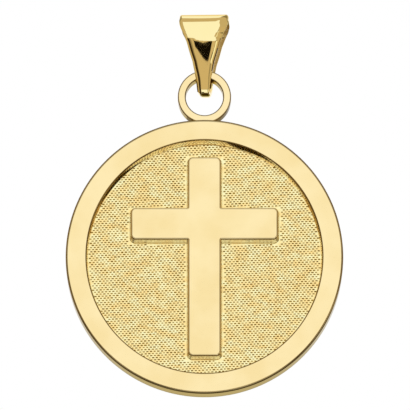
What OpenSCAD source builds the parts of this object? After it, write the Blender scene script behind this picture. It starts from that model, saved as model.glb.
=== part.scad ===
// Round religious medal with a raised Latin cross, a soldered ring and a tapered bail.
// The medal hangs below the bail. X runs across the face, Y from front to back, and Z is up.
// The origin is the inside top of the bail, where a neck chain bears.

/* [Medal] */
// Outer diameter of the medal
medal_d = 20; // [18:0.5:26]
// Thickness at the rim
medal_t = 1.9; // [1.5:0.05:2.2]
// Width of the flat polished rim
rim_w = 1.5; // [1:0.1:1.6]
// Depth of the textured field below the rim
field_depth = 1.1; // [0.6:0.05:1.2]
// Radius on the long edges of the rim
rim_edge_r = 0.14; // [0.08:0.02:0.2]
// Draft of the struck walls, in degrees
draft = 5; // [2:0.5:8]

/* [Cross] */
// Height of the upright
cross_h = 14.5; // [12:0.1:14.6]
// Length of the cross arm
cross_w = 10.6; // [8:0.1:12]
// Width of the upright
upright_w = 2.36; // [1.6:0.02:2.6]
// Height of the cross arm's face
arm_h = 2.3; // [1.6:0.02:2.6]
// Height of the arm's middle above the centre of the medal
arm_rise = 2.4; // [1.5:0.05:3]
// Radius on the cross's outer corners
cross_corner_r = 0.28; // [0.16:0.02:0.5]
// Bevel on the edges of the cross's face
cross_bevel = 0.12; // [0.06:0.02:0.2]

/* [Ring] */
// Diameter of the ring's hole
ring_hole_d = 2.7; // [2.6:0.02:2.8]
// Radial width of the ring's band
ring_band = 0.57; // [0.5:0.01:0.6]
// Depth of the ring from front to back
ring_depth = 1.5; // [1.3:0.05:1.55]
// How far the ring is let into the rim where it is soldered
ring_sink = 0.2; // [0.2:0.01:0.4]

/* [Bail] */
// Width of the bail across its top fold
bail_top_w = 3.53; // [3:0.01:3.8]
// Width of the bail at its knee, where the flare begins
bail_knee_w = 1.56; // [1.3:0.02:1.8]
// Width of the bail's waist, at the head of the slim end
bail_waist_w = 1.12; // [1:0.02:1.2]
// Width of the bail at its lowest point
bail_tip_w = 0.84; // [0.76:0.02:0.9]
// Outer depth of the bail at its top fold
bail_depth = 3.1; // [3:0.05:3.4]
// Thickness of the bail's metal
bail_t = 0.48; // [0.4:0.02:0.5]
// Extra thickness at the tip, where the two ends are joined
bail_tip_extra = 0.18; // [0:0.02:0.2]
// Height from the chain's seat down to the middle of the ring's band
bail_drop = 4; // [3.8:0.05:4.4]
// Room between the ring's band and the bail
ring_play = 0.16; // [0.12:0.02:0.2]
// Height of the ring's axis above the bail's waist
waist_drop = 0.25; // [0.1:0.05:0.5]
// Height of the knee above the ring's axis
knee_rise = 0.85; // [0.6:0.05:1.2]
// Small turn of the bail about the vertical, as it sits on the ring, in degrees
bail_turn = -4; // [-5:0.5:5]

/* [Hidden] */
gold = [0.93, 0.77, 0.42];

fine = 180; // sides of the large rounds
round_n = 96; // sides of the ring and the bail's bends
edge_n = 48; // sides of the edge rounds
merge = 0.2; // depth to which joined shapes run into each other

medal_r = medal_d / 2;
face_z = medal_t / 2; // the rim's face, measured from the middle of the medal's thickness
floor_z = face_z - field_depth;
ring_in_r = ring_hole_d / 2;
ring_out_r = ring_in_r + ring_band;
ring_mid_r = ring_in_r + ring_band / 2;
ring_edge_r = 0.14;

swing_z = -bail_drop; // height of the axis on which the ring swings
ring_z = swing_z - ring_mid_r;
medal_z = ring_z - ring_out_r - medal_r + ring_sink;

// The ring's band swings inside the bail, so the bend at the tip clears its corners.
band_reach = norm([ring_depth / 2 - ring_edge_r, ring_band / 2 - ring_edge_r]) + ring_edge_r;
tip_in_r = band_reach + ring_play;
tip_out_r = tip_in_r + bail_t;
fold_out_r = bail_depth / 2;
fold_in_r = fold_out_r - bail_t;
fold_z = -fold_in_r; // centre of the top fold
waist_z = swing_z - waist_drop;
knee_z = swing_z + knee_rise;
tip_z = swing_z - tip_out_r - bail_tip_extra; // lowest point of the bail

// Section of the rim: square at the back, with a drafted inner wall and round long edges.
module rim_section() {
    inner = medal_r - rim_w + rim_edge_r; // middle of the inner edge round
    shoulder = [inner - rim_edge_r * cos(draft), face_z - rim_edge_r + rim_edge_r * sin(draft)];
    toe = [shoulder[0] - (shoulder[1] - floor_z) * tan(draft), floor_z];
    polygon([
        shoulder, toe, [toe[0], -face_z],
        [medal_r - rim_edge_r, -face_z], [medal_r - rim_edge_r, face_z], [inner, face_z],
        [inner, face_z - rim_edge_r]
    ]);
    translate([inner, -face_z + rim_edge_r])
        square([medal_r - inner, medal_t - 2 * rim_edge_r]);
    translate([inner, face_z - rim_edge_r])
        circle(rim_edge_r, $fn = edge_n);
    for (side = [-1, 1])
        translate([medal_r - rim_edge_r, side * (face_z - rim_edge_r)])
            circle(rim_edge_r, $fn = edge_n);
}

// Disc, raised rim and sunk field, turned as one about the medal's own axis.
module disc() {
    rotate([90, 0, 0])
        rotate_extrude($fn = fine) {
            rim_section();
            translate([0, -face_z])
                square([medal_r - rim_w + merge, floor_z + face_z]);
        }
}

// A rectangle with round corners, centred.
module round_rect(w, h, r) {
    square([w - 2 * r, h], center = true);
    square([w, h - 2 * r], center = true);
    for (sx = [-1, 1], sy = [-1, 1])
        translate([sx * (w / 2 - r), sy * (h / 2 - r)])
            circle(r, $fn = edge_n);
}

// Turns an outline drawn in XY to stand in XZ, thick from front to back and centred on Y.
module stand(depth) {
    rotate([90, 0, 0])
        linear_extrude(depth, center = true)
            children();
}

// Section of a bar that is w wide at its face, with bevelled edges and drafted sides.
module bar_section(w) {
    edge = w / 2 - cross_bevel;
    shoulder = [w / 2, -face_z + cross_bevel];
    toe = [shoulder[0] + (field_depth + merge) * tan(draft), shoulder[1] + field_depth + merge];
    polygon([
        [-edge, -face_z], [edge, -face_z], shoulder, toe,
        [-toe[0], toe[1]], [-shoulder[0], shoulder[1]]
    ]);
}

// Upright bar of the cross, with round corners in its outline.
module bar(w, h) {
    spread = 2 * field_depth * tan(draft); // the bar is wider at its foot by this much
    intersection() {
        stand(medal_t)
            round_rect(w + spread, h + spread, cross_corner_r);
        linear_extrude(2 * h, center = true)
            bar_section(w);
        rotate([0, 90, 0])
            linear_extrude(2 * w, center = true)
                bar_section(h);
    }
}

module cross() {
    bar(upright_w, cross_h);
    translate([0, 0, arm_rise])
        rotate([0, 90, 0])
            bar(arm_h, cross_w);
}

// Flat-sided ring in the plane of the medal.
module ring() {
    rotate([90, 0, 0])
        rotate_extrude($fn = round_n)
            translate([ring_mid_r, 0])
                round_rect(ring_band, ring_depth, ring_edge_r);
}

// The struck medal with its soldered ring is one piece of metal.
module medal() {
    color(gold) {
        translate([0, 0, medal_z]) {
            disc();
            cross();
        }
        translate([0, 0, ring_z])
            ring();
    }
}

// The straight-sided outline round two circles on the vertical axis: the lower one of radius
// low_r at height low_z, and the upper one of radius high_r at height high_z.
module belt(low_r, low_z, high_r, high_z) {
    lean = asin((high_r - low_r) / (high_z - low_z));
    translate([0, low_z])
        circle(low_r, $fn = round_n);
    translate([0, high_z])
        circle(high_r, $fn = round_n);
    polygon([
        [-low_r * cos(lean), low_z - low_r * sin(lean)],
        [low_r * cos(lean), low_z - low_r * sin(lean)],
        [high_r * cos(lean), high_z - high_r * sin(lean)],
        [-high_r * cos(lean), high_z - high_r * sin(lean)]
    ]);
}

// The bail from the side: one closed loop of strip, thicker at its tip.
module bail_side() {
    difference() {
        belt(tip_out_r, swing_z - bail_tip_extra, fold_out_r, fold_z);
        belt(tip_in_r, swing_z, fold_in_r, fold_z);
    }
}

// Front outline of the bail: a slim end, a waist, a knee, and a flare up to the straight sides of
// the fold. Each row is a half width and its height, and the outline runs up the right side and
// down the left.
module bail_front() {
    rows = [
        [bail_tip_w / 2, tip_z - merge],
        [bail_waist_w / 2, waist_z],
        [bail_knee_w / 2, knee_z],
        [bail_top_w / 2, 0],
        [bail_top_w / 2, bail_t + merge]
    ];
    last = len(rows) - 1;
    polygon(concat(rows, [for (i = [last:-1:0]) [-rows[i][0], rows[i][1]]]));
}

module bail() {
    color(gold)
        rotate([0, 0, bail_turn])
            intersection() {
                rotate([90, 0, 90])
                    linear_extrude(bail_top_w + merge, center = true)
                        bail_side();
                stand(bail_depth + merge)
                    bail_front();
            }
}

medal();
bail();
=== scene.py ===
import math
import random

import bmesh
import bpy
from mathutils import Matrix, Vector


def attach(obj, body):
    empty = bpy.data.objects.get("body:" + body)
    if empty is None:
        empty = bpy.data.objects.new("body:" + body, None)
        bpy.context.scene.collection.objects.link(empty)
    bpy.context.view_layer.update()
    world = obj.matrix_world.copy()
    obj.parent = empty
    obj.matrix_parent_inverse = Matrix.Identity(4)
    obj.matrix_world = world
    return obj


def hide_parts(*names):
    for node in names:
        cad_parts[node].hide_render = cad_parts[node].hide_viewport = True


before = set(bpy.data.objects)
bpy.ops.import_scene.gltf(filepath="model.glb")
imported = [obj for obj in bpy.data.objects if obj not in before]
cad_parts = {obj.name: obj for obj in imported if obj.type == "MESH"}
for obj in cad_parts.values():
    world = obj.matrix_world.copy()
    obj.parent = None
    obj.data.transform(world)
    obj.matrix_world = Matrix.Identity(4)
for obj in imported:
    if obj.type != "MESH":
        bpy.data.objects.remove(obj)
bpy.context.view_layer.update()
print("frame loaded")

# Lengths in the dictionaries are in millimetres, and every mesh is brought to metres as it is made.
mm = 0.001
perMetre = 1000
fullTurn = 2 * math.pi
quarterTurn = math.pi / 2
samePoint = 1e-5  # points nearer than this are one point
nearEnough = 0.01  # how far an edge may be from where it is looked for
loopGap = 0.02  # room for a loop that keeps a flat flat up to its rounded edge
wallLean = 0.2  # a wall's normal has less than this from front to back
random.seed(7)

# The disc's middle, the ring's middle and the line that the ring swings on, below the chain's seat.
place = {"discHeight": -17.355, "ringHeight": -5.635, "swingHeight": -4.0}


def blend(pair, share):
    return pair[0] + share * (pair[1] - pair[0])


def tonesOf(finishes):
    # The number of each finish in a piece's list of materials, by its name.
    return {name: number for number, name in enumerate(finishes)}


def placeMesh(name, bm, materials, height=0.0, body="medal"):
    bmesh.ops.remove_doubles(bm, verts=bm.verts, dist=samePoint)
    bmesh.ops.recalc_face_normals(bm, faces=bm.faces)
    bmesh.ops.translate(bm, verts=bm.verts, vec=(0, 0, height))
    bmesh.ops.scale(bm, verts=bm.verts, vec=(mm, mm, mm))
    for face in bm.faces:
        face.smooth = True
    mesh = bpy.data.meshes.new(name)
    bm.to_mesh(mesh)
    bm.free()
    piece = bpy.data.objects.new(name, mesh)
    bpy.context.scene.collection.objects.link(piece)
    for material in materials:
        piece.data.materials.append(material)
    if body:
        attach(piece, body)
    return piece


def roundEdges(bm, edges, offset, segments, tone=0):
    made = bmesh.ops.bevel(bm, geom=edges, offset=offset, segments=segments, profile=0.5,
                           affect="EDGES", material=-1)
    for face in made["faces"]:
        face.material_index = tone


def flattenShading(piece):
    # Keeps flat faces flat beside their rounded edges.
    modifier = piece.modifiers.new("even normals", "WEIGHTED_NORMAL")
    modifier.weight = 80


def turnedProfile(points, steps):
    # A profile of (radius, front-to-back) points, turned once about the Y axis.
    bm = bmesh.new()
    verts = [bm.verts.new((radius, y, 0)) for radius, y in points]
    edges = [bm.edges.new(pair) for pair in zip(verts, verts[1:])]
    bmesh.ops.spin(bm, geom=verts + edges, cent=(0, 0, 0), axis=(0, 1, 0), angle=fullTurn,
                   steps=steps, use_merge=True, use_duplicate=False)
    bmesh.ops.remove_doubles(bm, verts=bm.verts, dist=samePoint)
    return bm


def ringEdges(bm, radius, y):
    # The edges that run round the Y axis at one radius and depth.
    def isOn(v):
        return abs(math.hypot(v.co.x, v.co.z) - radius) < nearEnough and abs(v.co.y - y) < nearEnough

    return [edge for edge in bm.edges if all(isOn(v) for v in edge.verts)]


# materials
grazingTint = (0.50, 0.43, 0.24)  # polished metal goes dark where it is seen nearly edge on


def newMaterial(name, tint=grazingTint):
    material = bpy.data.materials.new(name)
    material.use_nodes = True
    tree = material.node_tree
    shader = tree.nodes["Principled BSDF"]
    shader.inputs["Metallic"].default_value = 1.0
    shader.inputs["Specular Tint"].default_value = (*tint, 1)
    return material, tree, shader


def addNode(tree, kind, values=None, **settings):
    node = tree.nodes.new(kind)
    for key, value in settings.items():
        setattr(node, key, value)
    for key, value in (values or {}).items():
        node.inputs[key].default_value = value
    return node


def objectMillimetres(tree, stretch=(1, 1, 1), turn=(0, 0, 0)):
    # Object coordinates in millimetres, stretched or turned for a grain.
    where = addNode(tree, "ShaderNodeTexCoord")
    mapping = addNode(tree, "ShaderNodeMapping")
    mapping.inputs["Scale"].default_value = [perMetre * s for s in stretch]
    mapping.inputs["Rotation"].default_value = turn
    tree.links.new(where.outputs["Object"], mapping.inputs["Vector"])
    return mapping.outputs["Vector"]


def noiseOn(tree, vector, scale, detail, rough=0.5):
    noise = addNode(tree, "ShaderNodeTexNoise", {"Scale": scale, "Detail": detail, "Roughness": rough})
    tree.links.new(vector, noise.inputs["Vector"])
    return noise.outputs["Fac"]


def rampBetween(tree, factor, stops):
    ramp = addNode(tree, "ShaderNodeValToRGB")
    elements = ramp.color_ramp.elements
    for index, (position, colour) in enumerate(stops):
        element = elements[index] if index < 2 else elements.new(position)  # a new ramp has two
        element.position = position
        element.color = (*colour, 1)
    tree.links.new(factor, ramp.inputs["Fac"])
    return ramp.outputs["Color"]


def rangeOf(tree, factor, source, target):
    node = addNode(tree, "ShaderNodeMapRange", {
        "From Min": source[0], "From Max": source[1], "To Min": target[0], "To Max": target[1]})
    tree.links.new(factor, node.inputs["Value"])
    return node.outputs["Result"]


def bumpOf(tree, height, depth, under=None):
    bump = addNode(tree, "ShaderNodeBump", {"Strength": 1.0, "Distance": depth * mm})
    tree.links.new(height, bump.inputs["Height"])
    if under:
        tree.links.new(under, bump.inputs["Normal"])
    return bump.outputs["Normal"]


# patches of colour, fine polishing lines in two directions, and slow waves
polishedGold = {
    "pale": (1.0, 0.83, 0.46), "deep": (0.955, 0.765, 0.385), "rough": (0.03, 0.07),
    "patchScale": 0.35, "patchDetail": 3, "patchStops": (0.35, 0.65),
    "lineScale": 3.0, "lineDetail": 4, "lineRough": 0.65, "lineDepth": 0.0001,
    "lineStretch": (0.25, 1, 9), "lineTurns": (0.35, -0.9), "lineRange": (0.8, 1.2),
    "waveScale": 0.28, "waveDetail": 1, "waveDepth": 0.004,
}


def makePolished(name, tint=grazingTint, **changes):
    look = {**polishedGold, **changes}
    material, tree, shader = newMaterial(name, tint)
    vector = objectMillimetres(tree)
    patches = noiseOn(tree, vector, look["patchScale"], look["patchDetail"])
    colour = rampBetween(tree, patches, zip(look["patchStops"], (look["pale"], look["deep"])))
    tree.links.new(colour, shader.inputs["Base Color"])
    both = addNode(tree, "ShaderNodeMath", operation="ADD")
    for turn, socket in zip(look["lineTurns"], both.inputs):
        grain = objectMillimetres(tree, look["lineStretch"], (0, turn, 0))
        line = noiseOn(tree, grain, look["lineScale"], look["lineDetail"], look["lineRough"])
        tree.links.new(line, socket)
    lines = both.outputs["Value"]
    tree.links.new(rangeOf(tree, lines, look["lineRange"], look["rough"]), shader.inputs["Roughness"])
    wave = noiseOn(tree, vector, look["waveScale"], look["waveDetail"])
    waves = bumpOf(tree, wave, look["waveDepth"])
    tree.links.new(bumpOf(tree, lines, look["lineDepth"], waves), shader.inputs["Normal"])
    return material


# patches of four tones, and a fine grain
fieldGold = {
    "tones": ((1.0, 0.735, 0.29), (1.0, 0.81, 0.37), (1.0, 0.90, 0.475), (1.0, 0.955, 0.56)),
    "patchStops": (0.36, 0.47, 0.56, 0.64), "patchScale": 1.5, "patchDetail": 6, "patchRough": 0.75,
    "patchStretch": (0.7, 1, 1.3), "rough": (0.03, 0.07),
    "grainScale": 5.0, "grainDetail": 3, "grainRough": 0.6, "grainRange": (0.3, 0.7), "grainDepth": 0.0008,
}


def makeFieldFinish(name, tint, **changes):
    look = {**fieldGold, **changes}
    material, tree, shader = newMaterial(name, tint)
    vector = objectMillimetres(tree, look["patchStretch"])
    patches = noiseOn(tree, vector, look["patchScale"], look["patchDetail"], look["patchRough"])
    colour = rampBetween(tree, patches, zip(look["patchStops"], look["tones"]))
    tree.links.new(colour, shader.inputs["Base Color"])
    vector = objectMillimetres(tree)
    grain = noiseOn(tree, vector, look["grainScale"], look["grainDetail"], look["grainRough"])
    tree.links.new(rangeOf(tree, grain, look["grainRange"], look["rough"]), shader.inputs["Roughness"])
    tree.links.new(bumpOf(tree, grain, look["grainDepth"]), shader.inputs["Normal"])
    return material


medalPolish = makePolished("medalPolish")
# painted shade: a much darker gold for the rounded edges of the disc and the ring, and for the ring's outside
# near the solder
paintedEdgeShade = makePolished("paintedEdgeShade", (0.30, 0.24, 0.13), pale=(0.37, 0.29, 0.14), deep=(0.31, 0.24, 0.11))
# painted light: a paler gold, less dark edge on, for the recess wall inside the rim
paintedLitWall = makePolished("paintedLitWall", (0.90, 0.83, 0.66), pale=(0.95, 0.86, 0.68), deep=(0.92, 0.82, 0.62),
                        rough=(0.08, 0.11))
# painted light: a nearly white gold, also rougher, for the cross's walls
paintedLitCrossWall = makePolished("paintedLitCrossWall", (0.95, 0.90, 0.80), pale=(1.0, 0.96, 0.84), deep=(0.98, 0.94, 0.80),
                         rough=(0.3, 0.36))
# painted shade: a dark brown gold for the rim's inner edge, the foot of the cross's walls and the cross's
# edges that face down
paintedLineShade = makePolished("paintedLineShade", pale=(0.30, 0.21, 0.08), deep=(0.24, 0.16, 0.05))
# painted shade: a darker gold for the cross's rounded face edges and for the disc's outer wall behind its
# shade depth
paintedMildShade = makePolished("paintedMildShade", pale=(0.79, 0.66, 0.37), deep=(0.71, 0.58, 0.30))
ringPolish = makePolished("ringPolish", pale=(1.0, 0.83, 0.47), deep=(0.97, 0.79, 0.42))
bailPolish = makePolished("bailPolish", (1.0, 0.94, 0.78), pale=(1.0, 0.88, 0.47), deep=(0.99, 0.86, 0.44),
                          rough=(0.01, 0.03), lineDepth=0.000002, waveDepth=0.0003)
# painted dark reflection: a near black gold for a line down the bail's left edge, its lower right side and
# the underside of its tip
paintedDarkReflection = makePolished("paintedDarkReflection", pale=(0.14, 0.09, 0.03), deep=(0.10, 0.06, 0.02))
# painted shade: a darker, rougher gold for the inside of the bail and a strip high on its right side
paintedInsideShade = makePolished("paintedInsideShade", pale=(0.70, 0.52, 0.22), deep=(0.60, 0.43, 0.16), rough=(0.2, 0.3))
pittedGold = makeFieldFinish("pittedGold", (1, 1, 1))
# the pits are a darker, more orange and rougher gold than the ground around them
pitTones = ((0.38, 0.21, 0.015), (0.43, 0.26, 0.02), (0.51, 0.33, 0.025), (0.52, 0.35, 0.07))
pitGold = makeFieldFinish("pitGold", (0.6, 0.48, 0.22), tones=pitTones, rough=(0.25, 0.4))
print("materials made")

# disc with its rim
disc = {
    "radius": 10.0, "halfThick": 0.95, "rimWidth": 1.5, "fieldY": 0.15, "floorY": 0.32,
    "draft": math.radians(5), "steps": 256,
    "edge": 0.14, "edgeSteps": 5, "lip": 0.08, "lipSteps": 3,  # the lip is the rim's inner edge
    "outerShadeFrom": 0.35,  # the outer wall has painted shade, a darker gold, behind this depth
    # the edge, the lip and the back of the outer wall have painted shade; the recess wall has painted light
    "finishes": {"face": medalPolish, "edge": paintedEdgeShade, "lip": paintedLineShade, "wall": paintedLitWall,
                 "shadedOuterWall": paintedMildShade},
}


def makeDisc():
    tones = tonesOf(disc["finishes"])
    outer, back, front = disc["radius"], disc["halfThick"], -disc["halfThick"]
    rimInside, floor = outer - disc["rimWidth"], disc["floorY"]
    keep = disc["edge"] + loopGap

    def wallAt(y):
        return rimInside - (y - front) * math.tan(disc["draft"])

    bm = turnedProfile([
        (0, back), (outer - keep, back), (outer, back), (outer, back - keep), (outer, disc["outerShadeFrom"]),
        (outer, front + keep), (outer, front), (outer - keep, front),
        (rimInside + disc["lip"] + loopGap, front), (rimInside, front),
        (wallAt(floor - loopGap), floor - loopGap), (wallAt(floor), floor),
        (wallAt(floor) - loopGap, floor), (0, floor)], disc["steps"])
    # the rounded outer edges and the rim's inner edge get painted shade
    for y in (back, front):
        roundEdges(bm, ringEdges(bm, outer, y), disc["edge"], disc["edgeSteps"], tones["edge"])
    roundEdges(bm, ringEdges(bm, rimInside, front), disc["lip"], disc["lipSteps"], tones["lip"])
    bm.normal_update()
    # the recess wall gets painted light, a paler gold, and the outer wall behind the shade depth gets painted
    # shade
    for face in bm.faces:
        c = face.calc_center_median()
        if abs(face.normal.y) < wallLean:
            if math.hypot(c.x, c.z) < rimInside:
                face.material_index = tones["wall"]
            elif c.y > disc["outerShadeFrom"] and face.material_index == tones["face"]:
                face.material_index = tones["shadedOuterWall"]
    piece = placeMesh("disc_and_rim", bm, disc["finishes"].values(), place["discHeight"])
    flattenShading(piece)
    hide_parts("medal")


makeDisc()
print("disc made")

# cross
cross = {
    "uprightHalf": 1.18, "uprightReach": 7.25, "armHalf": 1.15, "armReach": 5.3, "armRise": 2.4,
    "faceY": -0.95, "footY": 0.3, "corner": 0.34, "cornerSteps": 5, "crotch": 0.05, "crotchSteps": 2,
    "edge": 0.12, "edgeSteps": 4,
    "wallShadeFrom": 0.02,  # painted shade: the walls are dark behind this depth
    "underEdge": -0.55,  # an edge whose normal points down more than this gets painted shade
    "finishes": {"face": medalPolish, "edge": paintedMildShade, "line": paintedLineShade, "wall": paintedLitCrossWall},
}


def makeCross():
    tones = tonesOf(cross["finishes"])
    half, reach, arm, rise = (cross[key] for key in ("uprightHalf", "uprightReach", "armReach", "armRise"))
    armTop, armFoot = rise + cross["armHalf"], rise - cross["armHalf"]
    right = [(half, reach), (half, armTop), (arm, armTop), (arm, armFoot), (half, armFoot), (half, -reach)]
    outline = right + [(-x, z) for x, z in reversed(right)]
    bm = bmesh.new()
    face = bm.faces.new([bm.verts.new((x, cross["faceY"], z)) for x, z in outline])
    made = bmesh.ops.extrude_face_region(bm, geom=[face])
    foot = [v for v in made["geom"] if isinstance(v, bmesh.types.BMVert)]
    depth = cross["footY"] - cross["faceY"]
    spread = depth * math.tan(disc["draft"])
    bmesh.ops.translate(bm, verts=foot, vec=(0, depth, 0))
    for v in foot:  # the struck walls lean outwards as they go down
        middle = 0 if abs(v.co.z) > reach - nearEnough else rise
        v.co.x += math.copysign(spread, v.co.x)
        v.co.z += math.copysign(spread, v.co.z - middle)
    bmesh.ops.recalc_face_normals(bm, faces=bm.faces)

    def isTip(edge):
        return any(abs(v.co.x) > arm - nearEnough or abs(v.co.z) > reach - nearEnough for v in edge.verts)

    uprights = [e for e in bm.edges if abs(e.verts[0].co.y - e.verts[1].co.y) > depth / 2]
    tips = [e for e in uprights if isTip(e)]
    crotches = [e for e in uprights if e not in tips]
    roundEdges(bm, tips, cross["corner"], cross["cornerSteps"])
    roundEdges(bm, [e for e in crotches if e.is_valid], cross["crotch"], cross["crotchSteps"])
    faceEdges = [e for e in bm.edges if all(abs(v.co.y - cross["faceY"]) < nearEnough for v in e.verts)]
    # the rounded face edges get painted shade
    roundEdges(bm, faceEdges, cross["edge"], cross["edgeSteps"], tones["edge"])
    for y in (cross["wallShadeFrom"], cross["footY"] - loopGap):
        bmesh.ops.bisect_plane(bm, geom=bm.verts[:] + bm.edges[:] + bm.faces[:], dist=samePoint,
                               plane_co=(0, y, 0), plane_no=(0, 1, 0))
    bm.normal_update()
    # painted shade on the foot of the walls and on edges that face down, painted light on the rest of the
    # walls
    for face in bm.faces:
        if abs(face.normal.y) < wallLean:
            isDark = face.calc_center_median().y > cross["wallShadeFrom"]
            face.material_index = tones["line"] if isDark else tones["wall"]
        elif face.normal.z < cross["underEdge"]:
            face.material_index = tones["line"]
    piece = placeMesh("raised_cross", bm, cross["finishes"].values(), place["discHeight"])
    flattenShading(piece)


makeCross()
print("cross made")

# pitted field
field = {
    "reach": 8.56, "pitchAcross": 0.262, "pitchUp": 0.156, "turn": math.radians(3),
    "spare": 1.6,  # the grid leans, so it is made this much larger than the field
    "jitterAcross": 0.016, "jitterUp": 0.0096,
    # the widest and the narrowest pits, with the kinds between them
    "land": (0.034, 0.046), "slope": (0.016, 0.012), "depth": (0.10, 0.04), "kinds": 7,
    # plain ground beside the rim and the cross, and how far the ground runs under the cross
    "plainEdge": 0.20, "plainByCross": 0.21, "underCross": 0.13,
    "finishes": {"land": pittedGold, "pit": pitGold},
}


def makeField():
    # A leaning grid of small cells, each sunk to a dash-shaped pit.
    tones = tonesOf(field["finishes"])
    across, up, reach = field["pitchAcross"], field["pitchUp"], field["reach"]
    count = int(2 * reach / up * field["spare"])
    bm = bmesh.new()
    bmesh.ops.create_grid(bm, x_segments=count, y_segments=count, size=count / 2)
    for v in bm.verts:
        v.co.x = (v.co.x + v.co.y / 2) * across + random.uniform(-1, 1) * field["jitterAcross"]
        v.co.y = v.co.y * up + random.uniform(-1, 1) * field["jitterUp"]
    for turn, axis in ((field["turn"], "Z"), (quarterTurn, "X")):
        bmesh.ops.rotate(bm, verts=bm.verts, cent=(0, 0, 0), matrix=Matrix.Rotation(turn, 3, axis))

    def nearCross(c, beyond):
        upright = abs(c.x) < cross["uprightHalf"] + beyond and abs(c.z) < cross["uprightReach"] + beyond
        beside = abs(c.x) < cross["armReach"] + beyond
        return upright or (beside and abs(c.z - cross["armRise"]) < cross["armHalf"] + beyond)

    def isOutside(c, border, beyond):
        return math.hypot(c.x, c.z) > reach - border or nearCross(c, beyond)

    centres = {face: face.calc_center_median() for face in bm.faces}
    unseen = [face for face, c in centres.items() if isOutside(c, 0, -field["underCross"])]
    plain = field["plainEdge"], field["plainByCross"]
    cells = [face for face, c in centres.items() if not isOutside(c, *plain)]
    bmesh.ops.delete(bm, geom=unseen, context="FACES")
    bmesh.ops.translate(bm, verts=bm.verts, vec=(0, disc["fieldY"], 0))
    random.shuffle(cells)
    for kind in range(field["kinds"]):
        chosen = cells[kind::field["kinds"]]
        share = kind / (field["kinds"] - 1)
        land, slope, depth = (blend(field[key], share) for key in ("land", "slope", "depth"))
        bmesh.ops.inset_individual(bm, faces=chosen, thickness=land, depth=0, use_even_offset=True)
        for face in chosen:  # each pit is set upright in its leaning cell
            c = face.calc_center_median()
            for v in face.verts:
                v.co.x -= (v.co.z - c.z) * across / up / 2
        made = bmesh.ops.inset_individual(bm, faces=chosen, thickness=slope, depth=-depth,
                                          use_even_offset=True)
        for face in made["faces"] + chosen:
            face.material_index = tones["pit"]
    bm.normal_update()
    piece = placeMesh("pitted_field", bm, field["finishes"].values(), place["discHeight"])
    for polygon in piece.data.polygons:
        polygon.use_smooth = False


makeField()
print("field made")

# soldered ring
ring = {
    "holeRadius": 1.35, "outerRadius": 1.92, "halfDepth": 0.75, "edge": 0.08, "edgeSteps": 4, "steps": 128,
    "shadeBelow": -1.0, "shadeSlope": 0.35,  # painted shade: the outside is darker near the solder, more so on the right
    "finishes": {"face": ringPolish, "edge": paintedEdgeShade},
}


def makeRing():
    tones = tonesOf(ring["finishes"])
    inner, outer, y = ring["holeRadius"], ring["outerRadius"], ring["halfDepth"]
    keep = ring["edge"] + loopGap
    back = [(inner, y - keep), (inner, y), (inner + keep, y),
            (outer - keep, y), (outer, y), (outer, y - keep)]
    section = back + [(radius, -depth) for radius, depth in reversed(back)]
    bm = turnedProfile(section + section[:1], ring["steps"])
    corners = [e for radius in (inner, outer) for side in (-y, y) for e in ringEdges(bm, radius, side)]
    roundEdges(bm, corners, ring["edge"], ring["edgeSteps"], tones["edge"])
    # painted shade near the solder, in the edges' darker gold
    for face in bm.faces:
        c = face.calc_center_median()
        if math.hypot(c.x, c.z) > outer - nearEnough and c.z < ring["shadeBelow"] + c.x * ring["shadeSlope"]:
            face.material_index = tones["edge"]
    piece = placeMesh("soldered_ring", bm, ring["finishes"].values(), place["ringHeight"])
    flattenShading(piece)


makeRing()
print("ring made")

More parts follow.
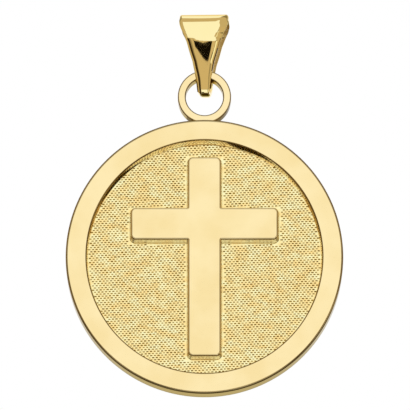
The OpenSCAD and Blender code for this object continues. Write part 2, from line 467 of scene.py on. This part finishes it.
# folded bail
bail = {
    # the fold's outer radius and the tip's inner one, and the heights of the fold, of the lowest point
    # and of a point inside the loop
    "thick": 0.48, "foldOut": 1.55, "tipIn": 0.927, "foldHeight": -1.07, "bottom": -5.56, "middle": -2.5,
    "turn": math.radians(-4), "foldSteps": 22, "legSteps": 16, "tipSteps": 16,
    # both legs break at the crease, below a short lip, and lean in a little more as they go down
    "lip": math.radians(-1.2), "lipLoops": (-1.13, -1.37), "crease": -1.46,
    "leanTop": math.radians(3.05), "leanFoot": math.radians(4.9), "legFoot": -5.31, "backFoot": -4.74,
    "tipFacet": 0.09, "facetLean": math.radians(13), "tipCorner": 0.18, "tipTurn": math.radians(78),
    # height and half width
    "halfWidths": [(0.26, 1.734), (0, 1.765), (-0.51, 1.65), (-1.24, 1.39), (-1.69, 1.2), (-2.42, 1.01),
                   (-3.15, 0.78), (-3.59, 0.70), (-4.24, 0.56), (-4.96, 0.484), (-5.5, 0.426)],
    # height, left chamfer, left shoulder, share of its slope, right chamfer, right shoulder, share of crown
    "bevels": [(0.46, 0.07, 0.05, 0, 0.08, 0.04, 0), (0.25, 0.14, 0.11, 0, 0.16, 0.06, 0),
               (-0.2, 0.22, 0.05, 0, 0.36, 0.06, 1), (-1.44, 0.22, 0.05, 0, 0.36, 0.06, 1),
               (-1.48, 0.12, 0.15, 1, 0.16, 0.12, 1), (-3.5, 0.14, 0.16, 1, 0.15, 0.10, 1),
               (-4.6, 0.17, 0.15, 1, 0.07, 0.08, 1), (-5.3, 0.17, 0.12, 1, 0.06, 0.05, 0.5)],
    "leftSlope": math.radians(22), "rightSlope": math.radians(30),
    "lap": 0.12,  # share of the left shoulder that blends into its neighbours
    "crown": math.radians(3), "crownShares": (-1, -0.7, -0.35, 0, 0.35, 0.7, 1),
    "chamferBreak": (0.45, 0.5, 0.97),  # where the right chamfer breaks, its depth there and at its end
    "ripple": 0.03, "rippleLength": 0.42, "rippleFull": 0.3,  # the right chamfer is uneven where it is wide
    "easing": (0.04, 0.03),  # across and depth, along the inside's edges
    # the parts with painted shade and painted dark reflections: places across the section, and heights; under
    # the tip, front to back and height
    "leftLine": (1, 4), "leftShade": (-1.51, -5.47),
    "rightSide": (12, 14), "rightShade": (-1.5, -2.3, -3.85), "tipShade": (-0.3, -5.47),
    "finishes": {"outside": bailPolish, "inside": paintedInsideShade, "dark": paintedDarkReflection},
}


def rowAt(rows, z):
    # The row of numbers at a height, blended between the rows given.
    if z >= rows[0][0]:
        return rows[0][1:]
    for upper, lower in zip(rows, rows[1:]):
        if z >= lower[0]:
            share = (z - lower[0]) / (upper[0] - lower[0])
            return [blend(pair, share) for pair in zip(lower[1:], upper[1:])]
    return rows[-1][1:]


def frontTip(y, z):
    # A small leaning facet, a round corner and a shallow curve to the bottom.
    facet, corner, bottom = bail["facetLean"], bail["tipCorner"], bail["bottom"]
    steps, middle = bail["tipSteps"], bail["tipSteps"] // 2
    footY, footZ = y + bail["tipFacet"] * math.sin(facet), z - bail["tipFacet"] * math.cos(facet)
    spots = []
    for step in range(middle):
        turned = blend((facet, bail["tipTurn"]), step / (middle - 1))
        y = footY + corner * (math.cos(facet) - math.cos(turned))
        z = footZ - corner * (math.sin(turned) - math.sin(facet))
        spots.append((y, z))
    for step in range(middle + 1, steps + 1):
        left = (steps - step) / (steps - middle)
        spots.append((y * left, bottom + (z - bottom) * left * left))
    return spots


def backTip(y, z):
    # A quarter of an oval to the bottom.
    angles = [quarterTurn * step / bail["tipSteps"] for step in range(1, bail["tipSteps"] + 1)]
    return [(y * math.cos(a), bail["bottom"] + (z - bail["bottom"]) * (1 - math.sin(a))) for a in angles]


def halfPath(back):
    # Outer and inner points of half the loop, from the top of the fold to the bottom of the tip.
    top, swing, tipIn = bail["foldHeight"], place["swingHeight"], bail["tipIn"]
    outer, inner = bail["foldOut"], bail["foldOut"] - bail["thick"]
    path = []
    for step in range(bail["foldSteps"] + 1):
        a = quarterTurn * (1 - step / bail["foldSteps"])
        path.append(((-outer * math.cos(a), top + outer * math.sin(a)),
                     (-inner * math.cos(a), top + inner * math.sin(a))))

    def addLeg(y, z):
        insideZ = max(z, swing)
        path.append(((y, z), (-blend((inner, tipIn), (top - insideZ) / (top - swing)), insideZ)))

    for z in (*bail["lipLoops"], bail["crease"] + loopGap, bail["crease"]):
        y = -outer + (top - z) * math.tan(bail["lip"])
        addLeg(y, z)
    z -= loopGap  # a loop on each side of the crease keeps it sharp
    addLeg(y, z)
    steps = bail["legSteps"]
    drop = (z - (bail["backFoot"] if back else bail["legFoot"])) / steps
    for step in range(steps):
        lean = blend((bail["leanTop"], bail["leanFoot"]), (step + 0.5) / steps)
        y, z = y + drop * math.tan(lean), z - drop
        addLeg(y, z)
    # the inside turns about the swing's axis, and the outside rounds the tip
    for step, spot in enumerate(backTip(y, z) if back else frontTip(y, z), 1):
        a = quarterTurn * step / bail["tipSteps"]
        path.append((spot, (-tipIn * math.cos(a), swing - tipIn * math.sin(a))))
    return path


def bailSection(z):
    # Across the strip from left to right and back along its inside: x, and the depth below the face.
    wide = rowAt(bail["halfWidths"], z)[0]
    leftChamfer, leftShoulder, leftShare, rightChamfer, rightShoulder, crown = rowAt(bail["bevels"], z)
    left, right = leftChamfer + leftShoulder - wide, wide - rightChamfer - rightShoulder
    middle, half = (left + right) / 2, (right - left) / 2
    sag = crown * math.tan(bail["crown"]) * half / 2
    leftDrop = leftShare * leftShoulder * math.tan(bail["leftSlope"]) + sag
    rightDrop = rightShoulder * math.tan(bail["rightSlope"]) + sag
    ripple = bail["ripple"] * math.sin(fullTurn * z / bail["rippleLength"])
    ripple *= min(1, rightChamfer / bail["rippleFull"]) ** 2
    lap = bail["lap"]
    outside = [(-wide, leftDrop + leftChamfer), (-wide + leftChamfer, leftDrop),
               (-wide + leftChamfer + lap * leftShoulder, blend((leftDrop, sag), lap)),
               (left - lap * leftShoulder, blend((sag, leftDrop), lap))]
    outside += [(middle + share * half, sag * share * share) for share in bail["crownShares"]]
    breakAcross, breakDepth, endDepth = bail["chamferBreak"]
    outside += [(wide - rightChamfer, rightDrop),
                (wide - rightChamfer * breakAcross, rightDrop + rightChamfer * breakDepth + ripple),
                (wide, rightDrop + rightChamfer * endDepth)]
    easeAcross, easeDepth = bail["easing"]
    inside = [(wide, easeDepth), (wide - easeAcross, 0.0), (0.0, 0.0),
              (easeAcross - wide, 0.0), (-wide, easeDepth)]
    return outside, inside


def makeBail():
    tones = tonesOf(bail["finishes"])
    backHalf = [((-y, z), (-insideY, insideZ)) for (y, z), (insideY, insideZ) in halfPath(True)[1:-1]]
    loop = halfPath(False) + backHalf[::-1]
    bm = bmesh.new()
    order = bm.verts.layers.int.new("order")

    def spot(station, index):
        before, here, after = loop[station - 1][0], loop[station][0], loop[(station + 1) % len(loop)][0]
        run = Vector((0, after[0] - before[0], after[1] - before[1])).normalized()
        outward = Vector((0, -run.z, run.y))
        if outward.y * here[0] + outward.z * (here[1] - bail["middle"]) < 0:
            outward = -outward
        outside, inside = bailSection(here[1])
        if index < len(outside):
            x, depth = outside[index]
            return Vector((x, here[0], here[1])) - outward * depth
        x, depth = inside[index - len(outside)]
        return Vector((x, loop[station][1][0], loop[station][1][1])) + outward * depth

    outside, inside = bailSection(0)
    count = len(outside) + len(inside)
    verts = [bm.verts.new(spot(0, index)) for index in range(count)]
    for index, v in enumerate(verts):
        v[order] = index
    edges = [bm.edges.new(pair) for pair in zip(verts, verts[1:] + verts[:1])]
    for station in range(1, len(loop) + 1):
        made = bmesh.ops.extrude_edge_only(bm, edges=edges)["geom"]
        edges = [g for g in made if isinstance(g, bmesh.types.BMEdge)]
        edges = [e for e in edges if not any(v in verts for v in e.verts)]
        verts = [g for g in made if isinstance(g, bmesh.types.BMVert)]
        for v in verts:
            v.co = spot(station % len(loop), v[order])

    def isOnFront(face, places):
        return all(places[0] <= v[order] <= places[1] and v.co.y < 0 for v in face.verts)

    # painted shade on the inside and high on the right side; painted dark reflections down the left edge, low
    # on the right side and under the tip
    for face in bm.faces:
        y, z = face.calc_center_median().yz
        if all(v[order] >= len(outside) for v in face.verts):
            face.material_index = tones["inside"]
        elif isOnFront(face, bail["leftLine"]) and bail["leftShade"][1] < z < bail["leftShade"][0]:
            face.material_index = tones["dark"]
        elif isOnFront(face, bail["rightSide"]) and bail["rightShade"][2] < z < bail["rightShade"][0]:
            face.material_index = tones["inside"] if z > bail["rightShade"][1] else tones["dark"]
        elif y < bail["tipShade"][0] and z < bail["tipShade"][1]:
            face.material_index = tones["dark"]
    bmesh.ops.rotate(bm, verts=bm.verts, cent=(0, 0, 0), matrix=Matrix.Rotation(bail["turn"], 3, "Z"))
    piece = placeMesh("folded_bail", bm, bail["finishes"].values(), 0.0, "bail")
    flattenShading(piece)
    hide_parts("bail")


makeBail()
print("bail made")

# studio: pale floor, white surround, and flags that only the polished metal sees
studio = {
    "floorHeight": -960.0, "floorRadius": 3000.0, "floorSides": 96, "floorRough": 0.9,
    "floorTones": ((0.92, 0.92, 0.92), (0.95, 0.95, 0.95)), "floorStops": (0.3, 0.7),
    "mottleScale": 0.01, "mottleDetail": 2,
    "surround": (1.0, 1.0, 1.0), "strength": 1.0,
    "flagDistance": 1100.0, "flagGrid": 12, "nearer": 0.97,
    "steep": 60,  # from this elevation a flag is laid out over or under the medal
    "point": 0.02,  # how blunt the wedge's point is
}
# name: azimuth, elevation, degrees wide, degrees high, colour. Azimuth 0 is the front, 90 is the right.
flags = {
    "front": (0, 0.7, 52, 9.4, (0.62, 0.475, 0.285)),
    "frontLow": (0, -58, 52, 36, (0.26, 0.205, 0.11)),
    "underneath": (0, -97, 150, 44, (0.20, 0.165, 0.10)),
    "lowBack": (180, -37.5, 150, 49, (0.13, 0.10, 0.05)),
    "highBack": (180, 30, 60, 40, (0.88, 0.76, 0.52)),
    "overhead": (0, 89.5, 60, 27, (0.58, 0.45, 0.28)),
}
# the same flag on both sides
sideFlags = {
    "dark": (43, -23.5, 36, 69, (0.34, 0.265, 0.155)),
    "upper": (72, 42.5, 84, 63, (0.57, 0.45, 0.28)),
    "low": (85, -59.5, 60, 49, (0.22, 0.18, 0.11)),
    "highBehind": (137, 46, 54, 56, (0.26, 0.21, 0.12)),
    "beside": (84, -12, 44, 46, (0.60, 0.46, 0.27)),
    "behind": (124, 0, 36, 60, (0.50, 0.41, 0.25)),
}
# small flags in front of the others, named for what they show on the metal
nearFlags = {
    "spark": (48, -13, 34, 18, (1.0, 0.93, 0.72)),
    "crescent": (-15.6, -28.5, 13.6, 21, (0.01, 0.008, 0.004)),
    "crescentLeft": (21, -9.5, 13, 13, (0.01, 0.008, 0.004)),
}
# a dark wedge that only the bail's front leg sees
wedge = {
    "azimuth": -7.75, "elevation": 3.66, "wide": 19.8, "high": 1.76, "colour": (0.006, 0.004, 0.002),
    "nearer": 0.98, "apex": 0.46,
}


def makeFloor():
    bm = bmesh.new()
    bmesh.ops.create_circle(bm, cap_ends=True, segments=studio["floorSides"], radius=studio["floorRadius"])
    material, tree, shader = newMaterial("paleFloor")
    shader.inputs["Metallic"].default_value = 0.0
    shader.inputs["Roughness"].default_value = studio["floorRough"]
    mottle = noiseOn(tree, objectMillimetres(tree), studio["mottleScale"], studio["mottleDetail"])
    colour = rampBetween(tree, mottle, zip(studio["floorStops"], studio["floorTones"]))
    tree.links.new(colour, shader.inputs["Base Color"])
    floor = placeMesh("floor", bm, [material], studio["floorHeight"], None)
    floor.visible_glossy = False  # the metal sees the flags under it instead


def directionOf(azimuth, elevation):
    a, e = math.radians(azimuth), math.radians(elevation)
    return Vector((math.sin(a) * math.cos(e), -math.cos(a) * math.cos(e), math.sin(e)))


def makeFlag(name, azimuth, elevation, wide, high, colour, nearer=1.0, apex=None):
    # A part of a sphere round the medal, so its edges stay where the angles say.
    bm = bmesh.new()
    bmesh.ops.create_grid(bm, x_segments=studio["flagGrid"], y_segments=studio["flagGrid"], size=1)
    if apex is not None:  # narrows downwards to a point
        for v in bm.verts:
            v.co.x = apex + (v.co.x - apex) * (v.co.y + 1 + studio["point"]) / (2 + studio["point"])
    for v in bm.verts:
        across, up = v.co.x * wide / 2, v.co.y * high / 2
        if abs(elevation) < studio["steep"]:
            spot = directionOf(azimuth + across, elevation + up)
        else:
            spot = directionOf(across, up)
            spot.rotate(Matrix.Rotation(math.radians(-elevation), 3, "X"))
        v.co = spot * studio["flagDistance"] * nearer
    material = bpy.data.materials.new(name)
    material.use_nodes = True
    tree = material.node_tree
    tree.nodes.clear()
    glow = addNode(tree, "ShaderNodeEmission", {"Color": (*colour, 1)})
    out = addNode(tree, "ShaderNodeOutputMaterial")
    tree.links.new(glow.outputs["Emission"], out.inputs["Surface"])
    flag = placeMesh("flag_" + name, bm, [material], place["discHeight"], None)
    flag.visible_camera = flag.visible_diffuse = flag.visible_shadow = False
    flag.visible_transmission = flag.visible_volume_scatter = False


def makeSurround():
    world = bpy.data.worlds.new("white surround")
    world.use_nodes = True
    background = world.node_tree.nodes["Background"]
    background.inputs["Color"].default_value = (*studio["surround"], 1)
    background.inputs["Strength"].default_value = studio["strength"]
    bpy.context.scene.world = world


makeFloor()
for flagName, values in flags.items():
    makeFlag(flagName, *values)
for flagName, values in sideFlags.items():
    makeFlag(flagName + "Right", *values)
    makeFlag(flagName + "Left", -values[0], *values[1:])
for flagName, values in nearFlags.items():
    makeFlag(flagName, *values, nearer=studio["nearer"])
makeFlag("wedge", **wedge)
makeSurround()
print("studio made")

# camera, a little below the medal as in the photograph
camera = {
    "elevation": -9.6, "distance": 1200.0, "target": (0.04, 0.0, -13.44), "frameWidth": 29.58, "sensor": 36.0,
    "clipMetres": (0.01, 12.0),
}


def makeCamera():
    data = bpy.data.cameras.new("camera")
    data.sensor_width = camera["sensor"]
    data.lens = camera["sensor"] * camera["distance"] / camera["frameWidth"]
    data.clip_start, data.clip_end = camera["clipMetres"]
    eye = bpy.data.objects.new("camera", data)
    bpy.context.scene.collection.objects.link(eye)
    back = directionOf(0, camera["elevation"])
    eye.location = (Vector(camera["target"]) + back * camera["distance"]) * mm
    eye.rotation_mode = "QUATERNION"
    eye.rotation_quaternion = (-back).to_track_quat("-Z", "Y")
    bpy.context.scene.camera = eye


makeCamera()
bpy.context.scene.view_settings.view_transform = "Standard"
print("camera made")
